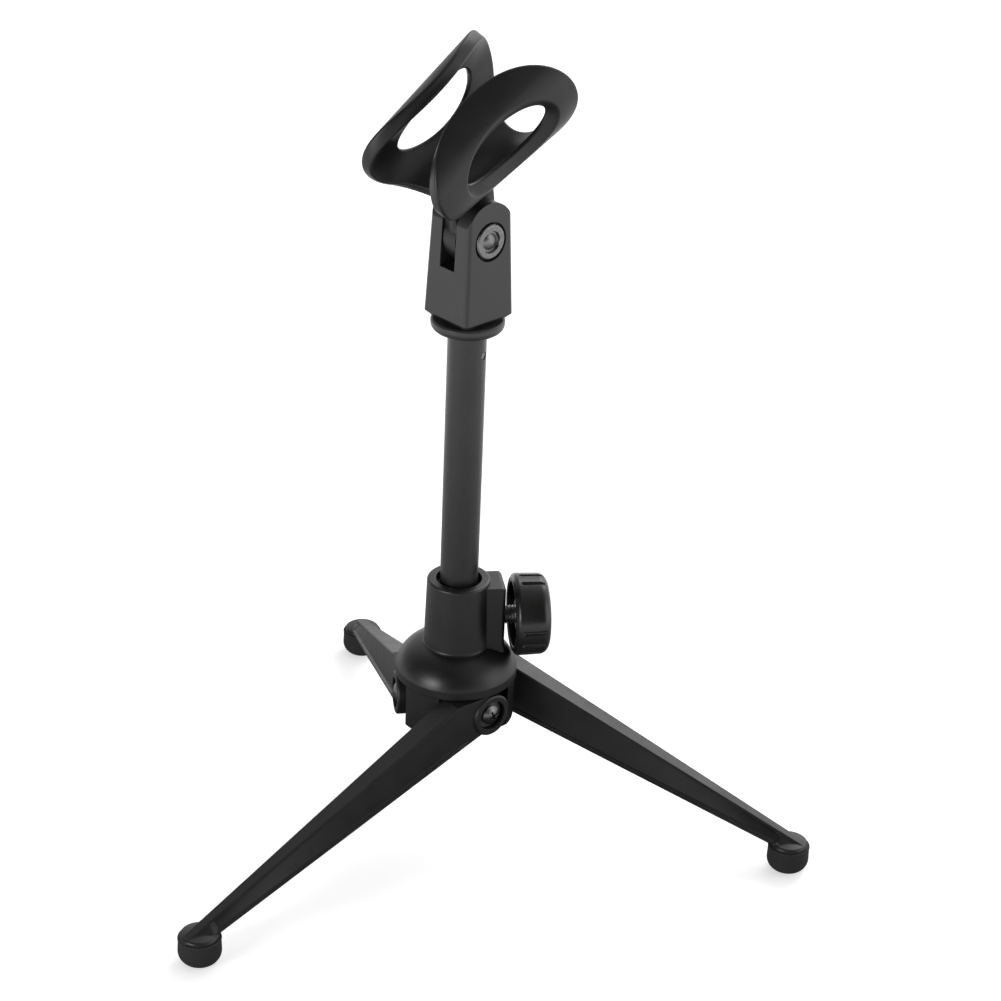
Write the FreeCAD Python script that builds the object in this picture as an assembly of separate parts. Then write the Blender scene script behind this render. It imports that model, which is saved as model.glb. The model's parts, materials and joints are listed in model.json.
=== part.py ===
import FreeCAD, Part
import math
import os

# Desktop microphone stand: three folding legs pinned round a clamp hub, a sliding column,
# and a tilting swivel that carries a two-jawed microphone cradle.
# Millimetres. Origin on the table under the column axis, +Z up, +X towards the clamp knob.

V = FreeCAD.Vector
UP = V(0, 0, 1)

# Driving sizes
LEG_COUNT = 3
FOOT_CIRCLE_R = 111.5        # column axis to each foot
FIRST_FOOT_AZIMUTH = -140.0  # degrees from +X
TUBE_R = 6.0
TUBE_WALL = 1.0
TUBE_BOTTOM_Z = 34.0
COLUMN_TOP_Z = 175.6         # underside of the stud flange
PIVOT_Z = 48.7               # leg hinge height
PIVOT_RUN = 0.7              # leg hinge position along the leg, from abreast of the column
CLAMP_Z = 76.0               # knob axis height
TILT_Z = 206.4               # cradle hinge height
TILT_AXIS_AZIMUTH = -55.0    # direction of the tilt bolt's head
CRADLE_TILT = 29.5           # microphone axis above horizontal at rest

RUNNING = 0.05               # radial clearance of every turning or sliding fit
FACE_GAP = 0.1               # clearance between faces that slide past each other
SEAT_GAP = 0.3               # room round a washer in its seat
THROUGH = 20.0               # far enough to cut right through the swivel and the cradle

# Hub moulding
HUB_BOTTOM_Z = 39.5
HUB_CHAMFER = 2.0
HUB_R = 18.8
SKIRT_R = HUB_R + 0.6
SKIRT_Z = 56.0
SKIRT_EDGE = 3.0
SKIRT_BREAK = 0.3            # small chamfer under the skirt
DOME_MID_R = 17.3
DOME_MID_Z = 63.3
COLLAR_BASE_Z = 67.0
COLLAR_BASE_R = 10.6
COLLAR_FILLET = 0.9          # between the dome and the collar
COLLAR_TOP_R = 10.1
COLLAR_TOP_Z = 90.0
COLLAR_EDGE = 0.8
MOUTH_R = 7.3
MOUTH_DEPTH = 2.6
MOUTH_DRAFT = 0.4
BORE_LEAD = 1.0              # chamfer at the bore's lower end
BLOCK_REACH = 14.5
BLOCK_ROOT = 8.0             # where the block starts, inside the collar
BLOCK_HALF_WIDTH = 6.0
BLOCK_BOTTOM_Z = 60.0
BLOCK_TOP_Z = 88.6
BLOCK_EDGE = 1.4

# Legs, measured in the leg's own plane: run along the leg, offset out from the column axis
LEG_MID_OFFSET = 14.7
LEG_ROOT_HALF = 4.0          # half width of the root and of the lower flange
LEG_TOP_TIP_HALF = 1.8       # half width that the top flange narrows to
LEG_TOP_SLOPE = 0.4465
LEG_TOP_START_Z = 62.0       # the sloping top edge, carried back to the column axis
LEG_LOW_SLOPE = 0.3176
LEG_LOW_START_Z = 42.1
LEG_BEAM_RUN = 9.0           # where the flanged beam takes over from the solid root
WEB_FULL_RUN = 17.0          # where the recess in its sides reaches full depth
WEB_END_RUN = 106.0          # and where the recess ends
LEG_TIP_RUN = 108.0
LEG_END_RUN = 118.0          # past the outer side of the foot
EAR_R = 7.0
EAR_PROUD = 0.9
EAR_EDGE = 0.7
WEB_DEPTH = 0.8
TOP_ROUND = 0.4
TOP_FLANGE = 0.7
LOW_FLANGE = 2.6
LOW_CHAMFER = 1.8
POCKET_BEHIND_EAR = 7.5
POCKET_REACH = 40.0          # past everything on the hub

# Leg pivot hardware
PIVOT_SHANK_R = 2.0
PIVOT_THREAD_R = 1.6
PIVOT_THREAD_END = 6.6
WASHER_R = 4.5
WASHER_THICK = 0.8
HEAD_R = 3.3
HEAD_HEIGHT = 2.2
CROSS_LENGTH = 3.4
CROSS_WIDTH = 0.8
CROSS_DEPTH = 1.2
CROSS_TURN = 20.0            # degrees
RECESS_R = 5.0
RECESS_DEPTH = 2.4
SPRING_WASHER_THICK = 0.5
SPRING_WASHER_R = 4.2

# Feet
FOOT_R = 6.75
FOOT_HEIGHT = 9.0
FOOT_ROUND = 3.4
FOOT_SOCKET_R = 3.4
FOOT_SOCKET_Z = 3.0
FOOT_LIP = 0.4
TIP_BOSS_R = 6.1
TIP_BOSS_TOP_Z = 11.0
TIP_BOSS_SIDE = 0.3          # height of its upright side
TIP_BOSS_SHOULDER = 1.1
TIP_BALL_R = 7.0             # ball that rounds off the end of the leg's beam over the foot
TIP_BALL_Z = 6.0

# Clamp
CLAMP_SCREW_R = 3.0
INSERT_R = 4.3
INSERT_INNER_REACH = 8.7
PAD_THICK = 1.6
PAD_R = 2.9
SCREW_TIP_CHAMFER = 0.5
KNOB_R = 13.2
KNOB_BACK = 17.2
KNOB_FRONT = 29.2
KNOB_HOLLOW_R = 10.2
KNOB_HOLLOW_DEPTH = 5.5
KNOB_BOSS_R = 4.8
KNOB_BOSS_SUNK = 1.5         # its end lies inside the rim
KNOB_FACE = 4.0              # plastic left in front of the screw
KNOB_RIM_BOW = (1.0, 0.4)    # points of its rounded edges: in from the rim, along from the end
KNOB_RIM_SIDE = 2.0
KNOB_FRONT_BOW = (1.0, 1.6)
KNOB_FRONT_SIDE = 3.4
KNOB_FRONT_EDGE = (3.2, 0.6)
KNOB_DRAFT = 0.2
GROOVE_R = 0.85
GROOVE_START = 3.0           # from the knob's back
GROOVE_GROUPS = 3
GROOVE_STEP = 22.0
GROOVE_TURN = 7.5

# Tube end plug
PLUG_LIP_R = 7.5
PLUG_LIP_HEIGHT = 2.0
PLUG_LIP_CHAMFER = 0.6
PLUG_LENGTH = 10.0
PLUG_HOLE_R = 3.2
PLUG_FLOOR = 1.0

# Stud and swivel
FLANGE_R = 11.3
FLANGE_HEIGHT = 3.8
FLANGE_EDGE = 0.5
FLANGE_NECK_R = 8.6          # where the flange's rounded underside starts
FLANGE_BOW = (10.6, 0.7)     # a point of that rounding: radius, height above the tube's end
FLANGE_SIDE = 2.2            # height where the rounding meets the flange's rim
STUD_R = 7.5
STUD_TOP_Z = 193.0
STUD_CHAMFER = 1.0
STUD_PLUG_LENGTH = 14.0
STUD_PIN_Z = 168.0
STUD_PIN_R = 1.25
STUD_PIN_AZIMUTH = -36.0
STUD_PIN_SUNK = 0.3          # its ends lie this far inside the tube's face
BASE_BOTTOM_Z = 179.8
BASE_BOTTOM_HALF = 9.75
BASE_TOP_HALF = 8.4
BASE_CORNER = 1.4
BASE_CHAMFER = 1.6
EAR_ARCH_R = 9.0
EAR_ARCH_Z = 209.4
SLOT_HALF = 3.2
SLOT_FLOOR_Z = 197.3
BOLT_R = 2.5
BOLT_HEAD_R = 5.5
BOLT_HEAD_THICK = 2.0
BOLT_HEAD_EDGE = 0.7
BOLT_DISH_R = 3.5
BOLT_DISH_DEPTH = 0.9
BOLT_BUTTON_R = 2.6
BOLT_END_SUNK = 0.6          # its end, and the nut's face, lie inside the base's far side
NUT_SUNK = 0.4
BOLT_RECESS_R = 6.1
BOLT_RECESS_DEPTH = 1.7
NUT_FLATS = 8.0
NUT_THICK = 3.2

# Cradle, in its own frame: x along the tilt bolt, y along the microphone, z away from the bolt.
# Its wall is outlined on a cylinder, by angles from straight down and lengths along the microphone.
CRADLE_R = 18.25
CRADLE_WALL = 4.2
CRADLE_EDGE = 0.9            # rounding of all its edges
CRADLE_AXIS_Z = 30.6
CRADLE_LEAN = 7.0            # turn of the jaws about the microphone, towards +x
CRADLE_MIDDLE = 13.7         # middle of the jaws along the microphone
JAW_HALF_LENGTH = 28.0
JAW_MID_ANGLE = 92.7
JAW_HALF_ANGLE = 66.5
BLEND_ANGLE = 57.0           # where the saddle's hollow edge runs into the jaw's round one
WINDOW_MIDDLE = 1.0          # from the jaws' middle
WINDOW_HALF_LENGTH = 15.8    # these three at the wall's inner face
WINDOW_MID_ANGLE = 91.0
WINDOW_HALF_ANGLE = 18.5
FLARE_LENGTH = 2.7           # how much more each measures at the outer face
FLARE_MID_ANGLE = -3.0
FLARE_HALF_ANGLE = 15.5
TONGUE_HALF = 2.6
TONGUE_R = 8.6
NECK_SUNK = 1.5              # how far the neck runs into the wall
NECK_NEAR = -2.0             # its two ends along the wall
NECK_FAR = 14.0
FRICTION_WASHER_THICK = 0.5
FRICTION_WASHER_R = 6.5

NODES = {}


def around(shape, azimuth):
    turned = shape.copy()
    turned.rotate(V(0, 0, 0), UP, azimuth)
    return turned


def lathe(points):
    """Solid of revolution about Z from (radius, height) points; three in a tuple make an arc."""
    edges = []
    last = None
    for item in points + [points[0]]:
        if isinstance(item[0], tuple):
            middle, end = (V(r, 0, z) for r, z in item)
            edges.append(Part.Arc(last, middle, end).toShape())
        else:
            end = V(item[0], 0, item[1])
            if last is not None and last.distanceToPoint(end) > 1e-6:
                edges.append(Part.makeLine(last, end))
        last = end
    return Part.Face(Part.Wire(edges)).revolve(V(0, 0, 0), UP, 360)


def dome(rim_r, rim_z, top_z):
    """Arc for lathe() from a rim up to the axis, centred on the axis."""
    height = top_z - rim_z
    sphere_r = (rim_r ** 2 + height ** 2) / (2 * height)
    middle_z = top_z - sphere_r + math.sqrt(sphere_r ** 2 - rim_r ** 2 / 4)
    return ((rim_r / 2, middle_z), (0, top_z))


def rod(radius, start, direction, length):
    return Part.makeCylinder(radius, length, start, direction)


def box_between(low, high):
    return Part.makeBox(high[0] - low[0], high[1] - low[1], high[2] - low[2], V(*low))


def slab(points, direction):
    """Prism from a closed planar outline swept along a direction."""
    wire = Part.makePolygon(points + [points[0]])
    return Part.Face(wire).extrude(direction)


def hexagon(flats, direction_reach, x):
    corner = flats / 2 / math.cos(math.radians(30))
    points = [V(x, corner * math.sin(math.radians(60 * k)), corner * math.cos(math.radians(60 * k)))
              for k in range(6)]
    return slab(points, V(direction_reach, 0, 0))


# Hub, drawn once with +X as the clamp direction

def leg_azimuth(index):
    """Direction a leg runs in: its plane passes the column axis by the mid offset."""
    sweep = math.degrees(math.asin(LEG_MID_OFFSET / FOOT_CIRCLE_R))
    return FIRST_FOOT_AZIMUTH + index * 360 / LEG_COUNT - sweep


def hub_body():
    """Turned outline: drum, overhanging skirt, domed shoulder, drafted collar and the tube's bore."""
    bore_r = TUBE_R + RUNNING
    mouth_floor_r = MOUTH_R - MOUTH_DRAFT
    mouth_floor_z = COLLAR_TOP_Z - MOUTH_DEPTH
    fillet_bow = COLLAR_FILLET * (1 - math.sqrt(0.5))
    edge_bow = COLLAR_EDGE * (1 - math.sqrt(0.5))
    return lathe([
        (bore_r + BORE_LEAD, HUB_BOTTOM_Z),
        (HUB_R - HUB_CHAMFER, HUB_BOTTOM_Z),
        (HUB_R, HUB_BOTTOM_Z + HUB_CHAMFER),
        (HUB_R, SKIRT_Z),
        (SKIRT_R - SKIRT_BREAK, SKIRT_Z),
        (SKIRT_R, SKIRT_Z + SKIRT_BREAK),
        (SKIRT_R, SKIRT_Z + SKIRT_EDGE),
        ((DOME_MID_R, DOME_MID_Z), (COLLAR_BASE_R + COLLAR_FILLET, COLLAR_BASE_Z)),
        ((COLLAR_BASE_R + fillet_bow, COLLAR_BASE_Z + fillet_bow),
         (COLLAR_BASE_R, COLLAR_BASE_Z + COLLAR_FILLET)),
        (COLLAR_TOP_R, COLLAR_TOP_Z - COLLAR_EDGE),
        ((COLLAR_TOP_R - edge_bow, COLLAR_TOP_Z - edge_bow), (COLLAR_TOP_R - COLLAR_EDGE, COLLAR_TOP_Z)),
        (MOUTH_R, COLLAR_TOP_Z),
        (mouth_floor_r, mouth_floor_z),
        (bore_r, mouth_floor_z - (mouth_floor_r - bore_r)),
        (bore_r, HUB_BOTTOM_Z + BORE_LEAD),
    ])


def clamp_block():
    """Rectangular boss on the collar that holds the clamp insert."""
    block = box_between((BLOCK_ROOT, -BLOCK_HALF_WIDTH, BLOCK_BOTTOM_Z),
                        (BLOCK_REACH, BLOCK_HALF_WIDTH, BLOCK_TOP_Z))
    outer = [e for e in block.Edges
             if e.CenterOfMass.x > BLOCK_REACH - 0.1 and e.CenterOfMass.z > BLOCK_BOTTOM_Z + 0.1]
    return block.makeFillet(BLOCK_EDGE, outer)


def leg_pocket():
    """Room for a leg and its ear, open outwards and downwards; the leg runs along +X."""
    return box_between((-POCKET_BEHIND_EAR, LEG_MID_OFFSET - LEG_ROOT_HALF - FACE_GAP, HUB_BOTTOM_Z - 1),
                       (POCKET_REACH, POCKET_REACH, SKIRT_Z))


def make_hub():
    hub = hub_body().fuse(clamp_block())
    hub = hub.cut(rod(TUBE_R + RUNNING, V(0, 0, 0), UP, COLLAR_TOP_Z))
    for index in range(LEG_COUNT):
        turn = leg_azimuth(index)
        flat = LEG_MID_OFFSET - LEG_ROOT_HALF - FACE_GAP
        hub = hub.cut(around(leg_pocket(), turn))
        hub = hub.cut(around(rod(PIVOT_THREAD_R, V(PIVOT_RUN, PIVOT_THREAD_END, PIVOT_Z),
                                 V(0, 1, 0), flat), turn))
        washer_seat = V(PIVOT_RUN, flat - SPRING_WASHER_THICK, PIVOT_Z)
        hub = hub.cut(around(rod(SPRING_WASHER_R + SEAT_GAP, washer_seat, V(0, 1, 0), flat), turn))
    hub = hub.cut(rod(INSERT_R, V(INSERT_INNER_REACH, 0, CLAMP_Z), V(1, 0, 0), BLOCK_REACH))
    hub = hub.cut(rod(CLAMP_SCREW_R + RUNNING, V(TUBE_R - 1, 0, CLAMP_Z), V(1, 0, 0), BLOCK_REACH))
    return hub.removeSplitter()


# Legs, drawn running along +X with +Y pointing out from the column

def leg_top(run):
    return LEG_TOP_START_Z - LEG_TOP_SLOPE * run


def leg_low(run):
    return LEG_LOW_START_Z - LEG_LOW_SLOPE * run


def leg_section(run, web_depth):
    """Cross-section of the flanged beam: recessed sides, and lower edges cut back underneath."""
    share = (run - LEG_BEAM_RUN) / (LEG_TIP_RUN - LEG_BEAM_RUN)
    top_half = LEG_ROOT_HALF + (LEG_TOP_TIP_HALF - LEG_ROOT_HALF) * share
    top = leg_top(run)
    low = leg_low(run)
    side = [
        (top_half - TOP_ROUND, top),
        (top_half, top - TOP_ROUND),
        (top_half, top - TOP_FLANGE),
        (top_half - web_depth, top - TOP_FLANGE - WEB_DEPTH / 2),
        (LEG_ROOT_HALF - web_depth, low + LOW_FLANGE + WEB_DEPTH / 2),
        (LEG_ROOT_HALF, low + LOW_FLANGE),
        (LEG_ROOT_HALF, low + LOW_CHAMFER),
        (LEG_ROOT_HALF - LOW_CHAMFER, low),
    ]
    points = [V(run, LEG_MID_OFFSET + y, z) for y, z in side]
    points += [V(run, LEG_MID_OFFSET - y, z) for y, z in reversed(side)]
    return Part.makePolygon(points + [points[0]])


def leg_beam(foot_at):
    """Tapering beam, level under the skirt before it slopes down, with a rounded end over the foot."""
    beam = Part.makeLoft([leg_section(LEG_BEAM_RUN, 0),
                          leg_section(WEB_FULL_RUN, WEB_DEPTH),
                          leg_section(WEB_END_RUN, WEB_DEPTH),
                          leg_section(LEG_TIP_RUN, 0),
                          leg_section(LEG_END_RUN, 0)], True, True)
    up_to_foot = box_between((0, 0, 0), (foot_at.x, 2 * LEG_MID_OFFSET, PIVOT_Z + EAR_R))
    ball = Part.makeSphere(TIP_BALL_R, foot_at + V(0, 0, TIP_BALL_Z))
    cap = ball.common(rod(TIP_BALL_R, foot_at + V(0, 0, FOOT_HEIGHT), UP, TIP_BALL_R))
    foot_room = rod(FOOT_R + FACE_GAP, foot_at, UP, FOOT_HEIGHT)
    return beam.common(up_to_foot).cut(foot_room).fuse(beam.common(cap))


def leg_root():
    """Solid block between the ear and the beam."""
    level = PIVOT_Z + EAR_R
    end = LEG_BEAM_RUN + 0.5
    return slab([V(PIVOT_RUN, LEG_MID_OFFSET - LEG_ROOT_HALF, level),
                 V(end, LEG_MID_OFFSET - LEG_ROOT_HALF, level),
                 V(end, LEG_MID_OFFSET - LEG_ROOT_HALF, leg_low(end) + LOW_CHAMFER),
                 V(PIVOT_RUN, LEG_MID_OFFSET - LEG_ROOT_HALF, leg_low(PIVOT_RUN) + LOW_CHAMFER)],
                V(0, 2 * LEG_ROOT_HALF, 0))


def tip_boss():
    """Round end of the leg with the spigot that the rubber foot is pushed over."""
    foot_run = math.sqrt(FOOT_CIRCLE_R ** 2 - LEG_MID_OFFSET ** 2)
    side_top = FOOT_HEIGHT + TIP_BOSS_SIDE
    bow = TIP_BOSS_SHOULDER * (1 - math.sqrt(0.5))
    boss = lathe([
        (0, FOOT_SOCKET_Z),
        (FOOT_SOCKET_R, FOOT_SOCKET_Z),
        (FOOT_SOCKET_R, FOOT_HEIGHT),
        (TIP_BOSS_R, FOOT_HEIGHT),
        (TIP_BOSS_R, side_top),
        ((TIP_BOSS_R - bow, side_top + TIP_BOSS_SHOULDER - bow),
         (TIP_BOSS_R - TIP_BOSS_SHOULDER, side_top + TIP_BOSS_SHOULDER)),
        dome(TIP_BOSS_R - TIP_BOSS_SHOULDER, side_top + TIP_BOSS_SHOULDER, TIP_BOSS_TOP_Z),
    ])
    return boss, V(foot_run, LEG_MID_OFFSET, 0)


def make_leg():
    boss, foot_at = tip_boss()
    boss.translate(foot_at)
    inner = LEG_MID_OFFSET - LEG_ROOT_HALF
    outer = LEG_MID_OFFSET + LEG_ROOT_HALF + EAR_PROUD
    pivot = V(PIVOT_RUN, 0, PIVOT_Z)
    out = V(0, 1, 0)
    ear = rod(EAR_R, pivot + V(0, inner, 0), out, outer - inner)
    rim = [e for e in ear.Edges if e.Closed and e.CenterOfMass.y > outer - 0.1]
    ear = ear.makeFillet(EAR_EDGE, rim)
    leg = leg_beam(foot_at).fuse([leg_root(), ear, boss])
    leg = leg.cut(rod(PIVOT_SHANK_R + RUNNING, pivot, out, 2 * outer))
    leg = leg.cut(rod(RECESS_R, pivot + V(0, outer - RECESS_DEPTH, 0), out, RECESS_DEPTH + 1))
    return leg.removeSplitter()


def make_pivot_screw():
    """Shouldered pan-head screw with a cross recess, lying along +Y."""
    outer = LEG_MID_OFFSET + LEG_ROOT_HALF + EAR_PROUD
    seat = outer - RECESS_DEPTH + WASHER_THICK
    flat = LEG_MID_OFFSET - LEG_ROOT_HALF - FACE_GAP
    head_edge = seat + 0.4 * HEAD_HEIGHT
    profile = lathe([
        (0, PIVOT_THREAD_END),
        (PIVOT_THREAD_R, PIVOT_THREAD_END),
        (PIVOT_THREAD_R, flat - SPRING_WASHER_THICK),
        (PIVOT_SHANK_R, flat - SPRING_WASHER_THICK),
        (PIVOT_SHANK_R, seat),
        (HEAD_R, seat),
        (HEAD_R, head_edge),
        dome(HEAD_R, head_edge, seat + HEAD_HEIGHT),
    ])
    top = seat + HEAD_HEIGHT
    for turn in (0, 90):
        bar = box_between((-CROSS_LENGTH / 2, -CROSS_WIDTH / 2, top - CROSS_DEPTH),
                          (CROSS_LENGTH / 2, CROSS_WIDTH / 2, top + 1))
        profile = profile.cut(around(bar, turn + CROSS_TURN))
    profile.rotate(V(0, 0, 0), V(1, 0, 0), -90)
    profile.translate(V(PIVOT_RUN, 0, PIVOT_Z))
    return profile


def ring(inner_r, outer_r, start, direction, thick):
    return rod(outer_r, start, direction, thick).cut(rod(inner_r, start, direction, thick))


def make_head_washer():
    outer = LEG_MID_OFFSET + LEG_ROOT_HALF + EAR_PROUD
    return ring(PIVOT_SHANK_R + RUNNING, WASHER_R, V(PIVOT_RUN, outer - RECESS_DEPTH, PIVOT_Z),
                V(0, 1, 0), WASHER_THICK)


def make_spring_washer():
    flat = LEG_MID_OFFSET - LEG_ROOT_HALF - FACE_GAP
    return ring(PIVOT_SHANK_R + RUNNING, SPRING_WASHER_R,
                V(PIVOT_RUN, flat - SPRING_WASHER_THICK, PIVOT_Z), V(0, 1, 0), SPRING_WASHER_THICK)


def make_foot():
    """Rubber cap with a rounded sole and a small flat to stand on."""
    flat_r = FOOT_R - FOOT_ROUND
    corner = FOOT_ROUND * (1 - math.sqrt(0.5))
    cap = lathe([
        (0, 0),
        (flat_r, 0),
        ((FOOT_R - corner, corner), (FOOT_R, FOOT_ROUND)),
        (FOOT_R, FOOT_HEIGHT - FOOT_LIP),
        (FOOT_R - FOOT_LIP, FOOT_HEIGHT),
        (FOOT_SOCKET_R, FOOT_HEIGHT),
        (FOOT_SOCKET_R, FOOT_SOCKET_Z),
        (0, FOOT_SOCKET_Z),
    ])
    cap.translate(tip_boss()[1])
    return cap


# Column

def stud_pin_direction():
    angle = math.radians(STUD_PIN_AZIMUTH)
    return V(math.cos(angle), math.sin(angle), 0)


def stud_pin(radius, reach):
    way = stud_pin_direction()
    return rod(radius, V(0, 0, STUD_PIN_Z) - way * reach, way, 2 * reach)


def make_tube():
    tube = ring(TUBE_R - TUBE_WALL, TUBE_R, V(0, 0, TUBE_BOTTOM_Z), UP, COLUMN_TOP_Z - TUBE_BOTTOM_Z)
    return tube.cut(stud_pin(STUD_PIN_R, TUBE_R + 1))


def make_end_plug():
    """Cap in the tube's lower end; its lip stops the column pulling out of the hub."""
    bottom = TUBE_BOTTOM_Z - PLUG_LIP_HEIGHT
    return lathe([
        (0, bottom),
        (PLUG_LIP_R - PLUG_LIP_CHAMFER, bottom),
        (PLUG_LIP_R, bottom + PLUG_LIP_CHAMFER),
        (PLUG_LIP_R, TUBE_BOTTOM_Z),
        (TUBE_R - TUBE_WALL, TUBE_BOTTOM_Z),
        (TUBE_R - TUBE_WALL, TUBE_BOTTOM_Z + PLUG_LENGTH),
        (PLUG_HOLE_R, TUBE_BOTTOM_Z + PLUG_LENGTH),
        (PLUG_HOLE_R, TUBE_BOTTOM_Z + PLUG_FLOOR),
        (0, TUBE_BOTTOM_Z + PLUG_FLOOR),
    ])


def make_stud():
    """Flanged microphone thread, shown at its mean diameter, with a plug into the tube."""
    top = COLUMN_TOP_Z + FLANGE_HEIGHT
    bow_r, bow_height = FLANGE_BOW
    stud = lathe([
        (0, COLUMN_TOP_Z - STUD_PLUG_LENGTH),
        (TUBE_R - TUBE_WALL, COLUMN_TOP_Z - STUD_PLUG_LENGTH),
        (TUBE_R - TUBE_WALL, COLUMN_TOP_Z),
        (FLANGE_NECK_R, COLUMN_TOP_Z),
        ((bow_r, COLUMN_TOP_Z + bow_height), (FLANGE_R, COLUMN_TOP_Z + FLANGE_SIDE)),
        (FLANGE_R, top - FLANGE_EDGE),
        (FLANGE_R - FLANGE_EDGE, top),
        (STUD_R, top),
        (STUD_R, STUD_TOP_Z - STUD_CHAMFER),
        (STUD_R - STUD_CHAMFER, STUD_TOP_Z),
        (0, STUD_TOP_Z),
    ])
    return stud.cut(stud_pin(STUD_PIN_R, TUBE_R + 1))


# Swivel base, drawn with the tilt bolt along X and the slot along Y

def rounded_square(half, corner, z):
    face = Part.Face(Part.makePolygon([V(-half, -half, z), V(half, -half, z), V(half, half, z),
                                       V(-half, half, z), V(-half, -half, z)]))
    block = face.extrude(UP)
    block = block.makeFillet(corner, [e for e in block.Edges if abs(e.tangentAt(0).z) > 0.9])
    floor = min(block.Faces, key=lambda f: f.CenterOfMass.z)
    return floor.OuterWire


def base_half(z):
    share = (z - BASE_BOTTOM_Z) / (EAR_ARCH_Z + EAR_ARCH_R - BASE_BOTTOM_Z)
    return BASE_BOTTOM_HALF + (BASE_TOP_HALF - BASE_BOTTOM_HALF) * share


def tilt_rod(radius, start_x, end_x):
    """Rod along the tilt axis."""
    return rod(radius, V(start_x, 0, TILT_Z), V(1, 0, 0), end_x - start_x)


def make_swivel_base():
    top_z = EAR_ARCH_Z + EAR_ARCH_R
    foot_z = BASE_BOTTOM_Z + BASE_CHAMFER
    body = Part.makeLoft([rounded_square(base_half(foot_z), BASE_CORNER, foot_z),
                          rounded_square(base_half(top_z), BASE_CORNER, top_z)], True, True)
    skirt = Part.makeLoft([rounded_square(BASE_BOTTOM_HALF - BASE_CHAMFER, BASE_CORNER, BASE_BOTTOM_Z),
                           rounded_square(base_half(foot_z), BASE_CORNER, foot_z)], True, True)
    arch = tilt_rod(EAR_ARCH_R, -THROUGH, THROUGH)
    arch.translate(V(0, 0, EAR_ARCH_Z - TILT_Z))
    below = box_between((-THROUGH, -THROUGH, BASE_BOTTOM_Z - 1), (THROUGH, THROUGH, EAR_ARCH_Z))
    body = body.fuse(skirt).common(arch.fuse(below))
    body = body.cut(box_between((-SLOT_HALF, -THROUGH, SLOT_FLOOR_Z), (SLOT_HALF, THROUGH, top_z + 1)))
    body = body.cut(rod(STUD_R + RUNNING, V(0, 0, BASE_BOTTOM_Z - 1), UP, STUD_TOP_Z + 1 - BASE_BOTTOM_Z))
    face_x = base_half(TILT_Z)
    body = body.cut(tilt_rod(BOLT_R + RUNNING, -THROUGH, THROUGH))
    body = body.cut(tilt_rod(BOLT_RECESS_R, face_x - BOLT_RECESS_DEPTH, THROUGH))
    nut_room = hexagon(NUT_FLATS, -THROUGH, -face_x + NUT_THICK - NUT_SUNK)
    nut_room.translate(V(0, 0, TILT_Z))
    return body.cut(nut_room).removeSplitter()


def make_tilt_bolt():
    """Round-headed bolt with a dished face and a low button in the dish."""
    seat = base_half(TILT_Z) - BOLT_RECESS_DEPTH
    end = -base_half(TILT_Z) + BOLT_END_SUNK
    face = seat + BOLT_HEAD_THICK
    dish = face - BOLT_DISH_DEPTH
    bow = BOLT_HEAD_EDGE * (1 - math.sqrt(0.5))
    bolt = lathe([
        (0, end),
        (BOLT_R, end),
        (BOLT_R, seat),
        (BOLT_HEAD_R, seat),
        (BOLT_HEAD_R, face - BOLT_HEAD_EDGE),
        ((BOLT_HEAD_R - bow, face - bow), (BOLT_HEAD_R - BOLT_HEAD_EDGE, face)),
        (BOLT_DISH_R, face),
        (BOLT_DISH_R - BOLT_DISH_DEPTH / 3, dish),
        (BOLT_BUTTON_R, dish),
        dome(BOLT_BUTTON_R, dish, face),
    ])
    bolt.rotate(V(0, 0, 0), V(0, 1, 0), 90)
    bolt.translate(V(0, 0, TILT_Z))
    return bolt


def make_tilt_nut():
    near = -base_half(TILT_Z) + NUT_THICK - NUT_SUNK
    nut = hexagon(NUT_FLATS, -NUT_THICK, near)
    nut.translate(V(0, 0, TILT_Z))
    return nut.cut(tilt_rod(BOLT_R, -THROUGH, THROUGH))


def make_friction_washer(side):
    """Thin washer between the cradle's tongue and one ear of the base."""
    start = V(side * (SLOT_HALF - FRICTION_WASHER_THICK), 0, TILT_Z)
    return ring(BOLT_R + RUNNING, FRICTION_WASHER_R, start, V(side, 0, 0), FRICTION_WASHER_THICK)


# Cradle

def wall_point(angle, length):
    """Point of an outline drawn on a cylinder about Z, whose -X side becomes the underside."""
    return FreeCAD.Base.Vector2d(math.radians(180 + angle), length)


def wall_ellipse(side, mid_angle, half_angle, middle, half_length):
    """Ellipse on the wall; its parameter starts at the far end and runs over the outer side."""
    return Part.Geom2d.Ellipse2d(wall_point(side * mid_angle, middle + half_length),
                                 wall_point(side * (mid_angle + half_angle), middle),
                                 wall_point(side * mid_angle, middle))


def wall_solid(inner_outline, inner_r, outer_outline, outer_r):
    """Solid between two coaxial cylinders, from an outline on one to an outline on the other."""
    faces = []
    for outline, radius in ((inner_outline, inner_r), (outer_outline, outer_r)):
        surface = Part.Cylinder()
        surface.Radius = radius
        face = Part.Face(surface, Part.Wire([curve.toShape(surface) for curve in outline]))
        face.validate()
        faces.append(face)
    sides = [Part.makeRuledSurface(inner, outer, 1)
             for inner, outer in zip(faces[0].OuterWire.Edges, faces[1].OuterWire.Edges)]
    return Part.Solid(Part.Shell(faces + sides))


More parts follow.
